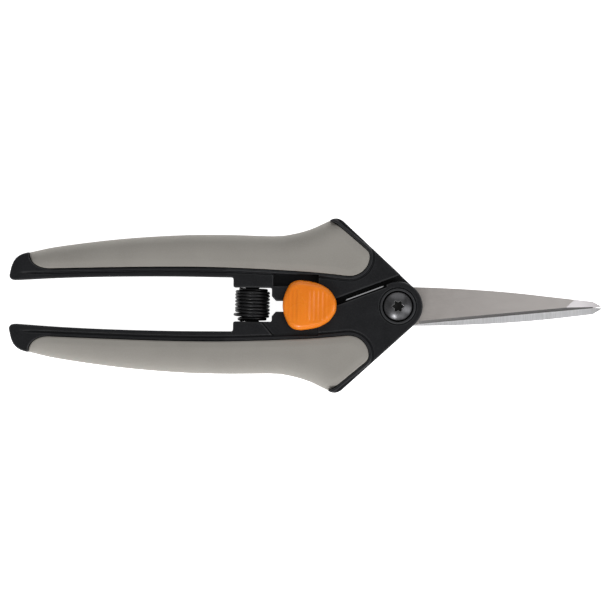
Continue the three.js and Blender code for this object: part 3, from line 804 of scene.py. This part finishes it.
def spring_path(t):
    """Centre of the spring wire: a barrel with close coils, and one coil sprung apart on the tail side."""
    loose_at = 1.5 / SPRING_COILS
    angle = 2 * math.pi * SPRING_COILS * (t - loose_at)
    swell = ramp(t, -0.04, 0.2) * ramp(-t, -1.04, -0.87)
    tail_side = np.clip(-np.cos(angle), 0, 1) ** 1.5
    beside = (t - loose_at) * SPRING_COILS
    lift = np.interp(beside, [-1.5, -0.5, 0.5, 1.5, 2.5], [0, -0.42, 0.05, 0.28, 0]) * tail_side
    spread = np.interp(beside, [-1.5, -0.5, 0.5, 1.5], [0, -0.25, 0.4, 0]) * tail_side
    radius = SPRING_END + SPRING_SWELL * swell + spread
    middle = 2 * t - 1
    half_length = SEAT - 0.4
    y = half_length * (middle + 0.12 * (middle - middle**3)) + lift
    return np.stack([SPRING_X + radius * np.cos(angle), y, radius * np.sin(angle)], axis=-1)


def return_spring(paint):
    """A swept wire, closed at both ends."""
    rings, sides = SPRING_COILS * 72, 14
    t = np.linspace(0, 1, rings + 1)
    centre = spring_path(t)
    along = np.gradient(centre, axis=0)
    along /= np.linalg.norm(along, axis=1, keepdims=True)
    out = centre - np.array([SPRING_X, 0, 0])
    out[:, 1] = 0
    out -= along * np.sum(out * along, axis=1, keepdims=True)
    out /= np.linalg.norm(out, axis=1, keepdims=True)
    side = np.cross(along, out)
    taper = SPRING_WIRE * np.minimum(1, np.minimum(t, 1 - t) * rings / 3 + 0.35)
    angles = np.arange(sides) * 2 * math.pi / sides
    ring = out[:, None] * np.cos(angles)[None, :, None] + side[:, None] * np.sin(angles)[None, :, None]
    vertices = (centre[:, None] + ring * taper[:, None, None]).reshape(-1, 3)
    faces = []
    for i in range(rings):
        for k in range(sides):
            a, b = i * sides + k, i * sides + (k + 1) % sides
            faces.append((a, b, b + sides, a + sides))
    faces.append(tuple(range(sides))[::-1])
    faces.append(tuple(rings * sides + k for k in range(sides)))
    piece = add_piece("barrel_spring", vertices, faces, None, paint)
    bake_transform(piece)
    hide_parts("return_spring")


def dress_cad_node(node, paint, bevel):
    """Keeps a CAD node's shape and gives it fine rounded edges and its own finish."""
    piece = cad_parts[node]
    piece.data.materials.clear()
    piece.data.materials.append(paint)
    edge = piece.modifiers.new("edge", "BEVEL")
    edge.width = bevel * MM
    edge.segments = 2
    edge.limit_method = "ANGLE"
    edge.angle_limit = math.radians(25)
    edge.harden_normals = True


# ---- materials -------------------------------------------


class Finish:
    """A node material with short calls for the nodes that every finish here uses."""

    def __init__(self, name):
        self.material = bpy.data.materials.new(name)
        self.material.use_nodes = True
        self.tree = self.material.node_tree
        self.tree.nodes.clear()
        self.output = self.tree.nodes.new("ShaderNodeOutputMaterial")
        self.surface = self.add("ShaderNodeBsdfPrincipled")
        self.join(self.surface, "BSDF", self.output, "Surface")
        self.place = self.add("ShaderNodeTexCoord")

    def add(self, kind, **settings):
        """Adds a shader node with its settings."""
        node = self.tree.nodes.new(kind)
        for key, value in settings.items():
            setattr(node, key, value)
        return node

    def join(self, source, out, target, into):
        """Links an output to an input, each given by its name or number."""
        self.tree.links.new(source.outputs[out], target.inputs[into])

    def noise(self, scale, detail=3.0, roughness=0.55, stretch=None):
        """Fractal noise fixed to the object, stretched along its axes if asked."""
        texture = self.add("ShaderNodeTexNoise")
        texture.inputs["Scale"].default_value = scale
        texture.inputs["Detail"].default_value = detail
        texture.inputs["Roughness"].default_value = roughness
        self.join(*self.object_place(stretch), texture, "Vector")
        return texture

    def object_place(self, scale=None):
        """The place on the object, scaled along its axes if asked, as a (node, output) pair."""
        if not scale:
            return (self.place, "Object")
        mapping = self.add("ShaderNodeMapping")
        mapping.inputs["Scale"].default_value = scale
        self.join(self.place, "Object", mapping, "Vector")
        return (mapping, "Vector")

    def split(self, out):
        """The x, y and z of a vector output of the texture coordinates."""
        parts = self.add("ShaderNodeSeparateXYZ")
        self.join(self.place, out, parts, "Vector")
        return parts

    def calculate(self, operation, *values):
        """A maths node; each value is a number or a (node, output) pair."""
        node = self.add("ShaderNodeMath", operation=operation)
        for k, value in enumerate(values):
            if isinstance(value, tuple):
                self.join(*value, node, k)
            else:
                node.inputs[k].default_value = value
        return node

    def ramp(self, source, out, stops):
        """A colour ramp; each stop is a position with a grey level or a colour."""
        node = self.add("ShaderNodeValToRGB")
        elements = node.color_ramp.elements
        while len(elements) < len(stops):
            elements.new(0.5)
        for element, (position, colour) in zip(elements, stops):
            shade = colour if isinstance(colour, tuple) else (colour, colour, colour)
            element.position = position
            element.color = (*shade, 1.0)
        self.join(source, out, node, "Fac")
        return node

    def mix(self, first, second, factor):
        """Mixes two colours, each a colour or a (node, output) pair, by a pair. The result is output 2."""
        node = self.add("ShaderNodeMix", data_type="RGBA")
        for key, value in ((6, first), (7, second), (0, factor)):
            if isinstance(value, tuple) and hasattr(value[0], "outputs"):
                self.join(*value, node, key)
            else:
                node.inputs[key].default_value = (*value, 1.0)
        return node

    def bump(self, source, out, strength, distance, before=None):
        """Bump in millimetres on the surface, on top of the one before it if that is given."""
        node = self.add("ShaderNodeBump")
        node.inputs["Strength"].default_value = strength
        node.inputs["Distance"].default_value = distance * MM
        self.join(source, out, node, "Height")
        if before:
            self.join(before, "Normal", node, "Normal")
        self.join(node, "Normal", self.surface, "Normal")
        return node

    def painted_light_curvature(self, stops):
        """A ramp over the curvature attribute, which tells edges from hollows, for painting highlights on
        edges and shade in hollows.
        """
        return self.ramp(self.add("ShaderNodeAttribute", attribute_name="painted_light_curvature"), "Fac", stops)

    def set(self, **values):
        """Sets inputs of the surface, with underscores for the spaces in their names."""
        for key, value in values.items():
            self.surface.inputs[key.replace("_", " ")].default_value = value


def black_plastic():
    """Glass-filled nylon: near black, finely grained, with a painted highlight lightening its edges."""
    finish = Finish("black_plastic")
    mottle = finish.noise(260, detail=4)
    tint = finish.ramp(mottle, "Fac", [(0.3, (0.0050, 0.0053, 0.0064)), (0.7, (0.0080, 0.0084, 0.0100))])
    # painted highlight: the edges are lightened to stand in for light caught on their rounding
    edges = finish.painted_light_curvature([(0.58, 0.0), (0.95, 0.8)])
    grain = finish.noise(2600, detail=3, roughness=0.7)
    speck = finish.ramp(grain, "Fac", [(0.45, 0.0), (0.7, 0.6)])
    dusted = finish.mix((tint, "Color"), (0.017, 0.018, 0.020), (speck, "Color"))
    # the painted edge highlight is mixed in here
    colour = finish.mix((dusted, 2), (0.046, 0.047, 0.05), (edges, "Color"))
    finish.join(colour, 2, finish.surface, "Base Color")
    rough = finish.ramp(mottle, "Fac", [(0.25, 0.42), (0.75, 0.56)])
    finish.join(rough, "Color", finish.surface, "Roughness")
    fine = finish.bump(grain, "Fac", 0.4, 0.05)
    finish.bump(mottle, "Fac", 0.12, 0.08, before=fine)
    finish.set(Specular_IOR_Level=0.22)
    return finish.material


def grey_grip():
    """Soft moulded rubber: warm grey, matt, with a fine dusty grain."""
    finish = Finish("grey_grip")
    cloud = finish.noise(70, detail=5)
    base = finish.ramp(cloud, "Fac", [(0.3, (0.285, 0.27, 0.244)), (0.7, (0.328, 0.311, 0.284))])
    speck = finish.noise(2600, detail=2)
    dust = finish.ramp(speck, "Fac", [(0.35, 0.0), (0.75, 0.5)])
    colour = finish.mix((base, "Color"), (0.335, 0.322, 0.30), (dust, "Color"))
    finish.join(colour, 2, finish.surface, "Base Color")
    rough = finish.ramp(cloud, "Fac", [(0.3, 0.66), (0.7, 0.8)])
    finish.join(rough, "Color", finish.surface, "Roughness")
    fine = finish.bump(speck, "Fac", 0.3, 0.05)
    finish.bump(cloud, "Fac", 0.1, 0.12, before=fine)
    finish.set(Specular_IOR_Level=0.22)
    return finish.material


def face_masks(finish, outward):
    """Masks of a blade's ground inner face, its long bevel and its tip facet, told apart by their normals,
    for the reflections painted on them.

    The outer face looks along outward on z.
    """
    normal = finish.split("Normal")
    facing = finish.calculate("MULTIPLY", (normal, "Z"), outward)
    raised = finish.calculate("MULTIPLY_ADD", (facing, "Value"), 0.5, 0.5)
    inner = finish.ramp(raised, "Value", [(0.02, 1.0), (0.06, 0.0)])
    bevel = finish.ramp(raised, "Value", [(0.55, 0.0), (0.62, 1.0), (0.95, 1.0), (0.985, 0.0)])
    nearly_flat = finish.ramp(raised, "Value", [(0.95, 0.0), (0.97, 1.0)])
    tipward = finish.ramp(normal, "X", [(0.105, 0.0), (0.125, 1.0)])
    facet = finish.calculate("MULTIPLY", (nearly_flat, "Color"), (tipward, "Color"))
    return inner, bevel, facet


def satin_face(finish, satin, here):
    """The outer face's colour: satin with a faint cloud, and painted light that lightens it towards the
    tip.
    """
    stain = finish.noise(160, detail=5)
    plain = finish.ramp(satin, "Fac", [(0.25, (0.505, 0.471, 0.45)), (0.75, (0.56, 0.525, 0.50))])
    cloudy = finish.ramp(stain, "Fac", [(0.35, 0.0), (0.75, 0.45)])
    # painted light: the face lightened towards the tip
    painted_tipward_light = finish.ramp(here, "X", [(0.008, 0.0), (0.028, 0.75), (0.05, 1.0)])
    clouded = finish.mix((plain, "Color"), (0.47, 0.435, 0.41), (cloudy, "Color"))
    return finish.mix((clouded, 2), (0.655, 0.618, 0.597), (painted_tipward_light, "Color"))


def blade_steel(name, outward):
    """Stainless steel for one blade: satin outside, cross-ground inner faces, and painted reflections, dark
    on the bevel and bright on the tip facet and the inner faces.

    The point is painted dark like the bevel, and the tang behind the pivot is polished.
    """
    finish = Finish(name)
    satin = finish.noise(3600, detail=3, stretch=(0.2, 1.0, 1.0))
    ground = finish.noise(3000, detail=4, stretch=(1.0, 0.08, 0.08))
    here = finish.split("Object")
    inner, bevel, facet = face_masks(finish, outward)
    outside = satin_face(finish, satin, here)
    # the inner faces' cross-ground lines, in colours painted bright as a stand-in for their reflection
    bright = finish.ramp(ground, "Fac", [(0.35, (0.66, 0.66, 0.67)), (0.65, (0.77, 0.77, 0.79))])
    # painted reflection: the point darkened like the bevel
    point = finish.ramp(here, "X", [(0.0542, 0.0), (0.0555, 0.7)])
    tang = finish.calculate("LESS_THAN", (here, "X"), -3 * MM)
    # painted reflection: the bevel painted dark
    edged = finish.mix((outside, 2), (0.10, 0.097, 0.095), (bevel, "Color"))
    # painted reflection: the tip facet painted bright
    tipped = finish.mix((edged, 2), (0.64, 0.612, 0.625), (facet, "Value"))
    faces = finish.mix((tipped, 2), (bright, "Color"), (inner, "Color"))
    pointed = finish.mix((faces, 2), (0.2, 0.195, 0.19), (point, "Color"))
    colour = finish.mix((pointed, 2), (0.78, 0.78, 0.8), (tang, "Value"))
    finish.join(colour, 2, finish.surface, "Base Color")
    rough = finish.ramp(satin, "Fac", [(0.25, 0.4), (0.75, 0.5)])
    polished = finish.mix((rough, "Color"), (0.12, 0.12, 0.12), (tang, "Value"))
    finish.join(polished, 2, finish.surface, "Roughness")
    lines = finish.mix((satin, "Fac"), (ground, "Fac"), (inner, "Color"))
    finish.bump(lines, 2, 0.15, 0.006)
    metal = finish.ramp(inner, "Color", [(0.0, 1.0), (1.0, 0.45)])
    finish.join(metal, "Color", finish.surface, "Metallic")
    return finish.material


def painted_socket_shade_mask(finish):
    """Mask of the screw's socket, where shade is painted: near the axis and below the top of the head."""
    socket_radius, socket_top = 1.75, BLADE_PLANE + HEAD_TOP - 0.5
    from_axis = finish.add("ShaderNodeVectorMath", operation="LENGTH")
    finish.join(*finish.object_place((1.0, 1.0, 0.0)), from_axis, 0)
    sunk = finish.calculate("LESS_THAN", (finish.split("Object"), "Z"), socket_top * MM)
    central = finish.calculate("LESS_THAN", (from_axis, "Value"), socket_radius * MM)
    return finish.calculate("MULTIPLY", (sunk, "Value"), (central, "Value"))


def dark_steel():
    """Burnished screw steel: blotched, with a painted highlight on its edges and painted shade in its
    socket.
    """
    finish = Finish("dark_steel")
    blotch = finish.noise(420, detail=5)
    base = finish.ramp(blotch, "Fac", [(0.3, (0.055, 0.055, 0.058)), (0.7, (0.12, 0.12, 0.125))])
    # painted highlight: the edges lightened
    edges = finish.painted_light_curvature([(0.68, 0.0), (1.0, 0.5)])
    edges_painted_light = finish.mix((base, "Color"), (0.32, 0.32, 0.32), (edges, "Color"))
    # painted shade: the socket darkened
    colour = finish.mix((edges_painted_light, 2), (0.02, 0.02, 0.02), (painted_socket_shade_mask(finish), "Value"))
    finish.join(colour, 2, finish.surface, "Base Color")
    rough = finish.ramp(blotch, "Fac", [(0.3, 0.2), (0.7, 0.36)])
    finish.join(rough, "Color", finish.surface, "Roughness")
    finish.bump(blotch, "Fac", 0.15, 0.03)
    finish.set(Metallic=0.9)
    return finish.material


def spring_steel():
    """Black oiled spring wire, with drawn lines and rubbed spots."""
    finish = Finish("spring_steel")
    drawn = finish.noise(1400, detail=3)
    base = finish.ramp(drawn, "Fac", [(0.3, (0.004, 0.004, 0.005)), (0.75, (0.012, 0.012, 0.013))])
    finish.join(base, "Color", finish.surface, "Base Color")
    rough = finish.ramp(drawn, "Fac", [(0.3, 0.26), (0.7, 0.4)])
    finish.join(rough, "Color", finish.surface, "Roughness")
    finish.bump(drawn, "Fac", 0.2, 0.02)
    finish.set(Metallic=0.2, Specular_IOR_Level=0.34)
    return finish.material


def orange_plastic():
    """Satin orange plastic, with painted shade in its hollows and a painted highlight on its ridges."""
    finish = Finish("orange_plastic")
    cloud = finish.noise(120, detail=4)
    base = finish.ramp(cloud, "Fac", [(0.3, (0.87, 0.21, 0.005)), (0.7, (0.95, 0.245, 0.007))])
    # painted shade: the hollows darkened
    hollows = finish.painted_light_curvature([(0.2, 0.4), (0.45, 0.0)])
    # painted highlight: the ridges paled
    ridged = finish.painted_light_curvature([(0.51, 0.0), (0.8, 0.32)])
    hollows_painted_darker = finish.mix((base, "Color"), (0.66, 0.13, 0.004), (hollows, "Color"))
    colour = finish.mix((hollows_painted_darker, 2), (0.97, 0.31, 0.022), (ridged, "Color"))
    finish.join(colour, 2, finish.surface, "Base Color")
    grain = finish.noise(4200, detail=2)
    rough = finish.ramp(cloud, "Fac", [(0.3, 0.24), (0.7, 0.32)])
    finish.join(rough, "Color", finish.surface, "Roughness")
    finish.bump(grain, "Fac", 0.12, 0.015)
    finish.set(Specular_IOR_Level=0.42, Subsurface_Weight=0.05, Subsurface_Radius=(0.001, 0.0004, 0.0001))
    return finish.material


def floor_paint():
    """White floor that glows, so that it stays white under the part."""
    finish = Finish("studio_floor")
    finish.set(Base_Color=(0.9, 0.9, 0.9, 1.0), Roughness=0.9)
    finish.set(Emission_Color=(1.0, 1.0, 1.0, 1.0), Emission_Strength=0.96)
    return finish.material


# ---- stage -----------------------------------------------

VIEW_WIDTH = 0.1703
VIEW_CENTRE = Vector((-0.0255, -0.0002, 0.0))
VIEW_TURN = math.radians(0.66)
LENS = 300.0
SENSOR_WIDTH = 36.0
FLOOR_HALF = 3.0
FLOOR_GAP = 0.0002
LIGHT_TARGET = Vector((-0.025, 0.0, 0.0))


def add_floor():
    """A wide white floor just under the part."""
    mesh = bpy.data.meshes.new("studio_floor")
    corners = [(x * FLOOR_HALF, y * FLOOR_HALF, 0) for x, y in ((-1, -1), (1, -1), (1, 1), (-1, 1))]
    mesh.from_pydata(corners, [], [(0, 1, 2, 3)])
    mesh.materials.append(floor_paint())
    floor = bpy.data.objects.new("studio_floor", mesh)
    floor.location.z = cad_low.z - FLOOR_GAP
    bpy.context.scene.collection.objects.link(floor)


def add_light(name, place, size, watts):
    """A rectangular lamp that faces the middle of the part."""
    lamp = bpy.data.lights.new(name, "AREA")
    lamp.shape = "RECTANGLE"
    lamp.size, lamp.size_y = size
    lamp.energy = watts
    light = bpy.data.objects.new(name, lamp)
    light.location = place
    light.rotation_mode = "QUATERNION"
    light.rotation_quaternion = (LIGHT_TARGET - Vector(place)).to_track_quat("-Z", "Y")
    bpy.context.scene.collection.objects.link(light)


def add_studio():
    """An even white world with two wide lamps, a small one for glints and one beside the tips."""
    world = bpy.data.worlds.new("studio")
    world.use_nodes = True
    background = world.node_tree.nodes["Background"]
    background.inputs["Color"].default_value = (1.0, 1.0, 1.0, 1.0)
    background.inputs["Strength"].default_value = 0.37
    bpy.context.scene.world = world
    add_light("key_from_below", (-0.05, -0.75, 0.62), (1.1, 0.5), 2.2)
    add_light("fill_from_above", (0.0, 0.8, 0.55), (1.1, 0.5), 1.5)
    add_light("key_core", (-0.2, -0.60, 0.46), (0.07, 0.07), 1.6)
    add_light("side_right", (0.45, -0.15, 0.45), (0.3, 0.5), 1.1)
    bpy.context.scene.view_settings.view_transform = "Standard"


def add_camera():
    """A long lens straight above the part, so that it shows almost no perspective."""
    camera = bpy.data.cameras.new("front_view")
    camera.lens = LENS
    camera.sensor_width = SENSOR_WIDTH
    camera.clip_start = 0.05
    camera.clip_end = 20.0
    view = bpy.data.objects.new("front_view", camera)
    distance = VIEW_WIDTH * LENS / SENSOR_WIDTH
    view.location = VIEW_CENTRE + Vector((0, 0, BLADE_PLANE * MM + distance))
    view.rotation_euler = (0, 0, VIEW_TURN)
    bpy.context.scene.collection.objects.link(view)
    bpy.context.scene.camera = view


# ---- build -----------------------------------------------

nylon = black_plastic()
rubber = grey_grip()
burnished = dark_steel()
upper_core(nylon)
lower_core(nylon)
grips(rubber)
lock_button(orange_plastic())
lock_retainer(nylon)
pivot_screw(burnished)
pivot_nut(burnished)
return_spring(spring_steel())
dress_cad_node("front_blade", blade_steel("front_blade_steel", 1.0), 0.05)
dress_cad_node("rear_blade", blade_steel("rear_blade_steel", -1.0), 0.05)
for washer in ("front_washer", "rear_washer"):
    dress_cad_node(washer, burnished, 0.06)
add_floor()
add_studio()
add_camera()
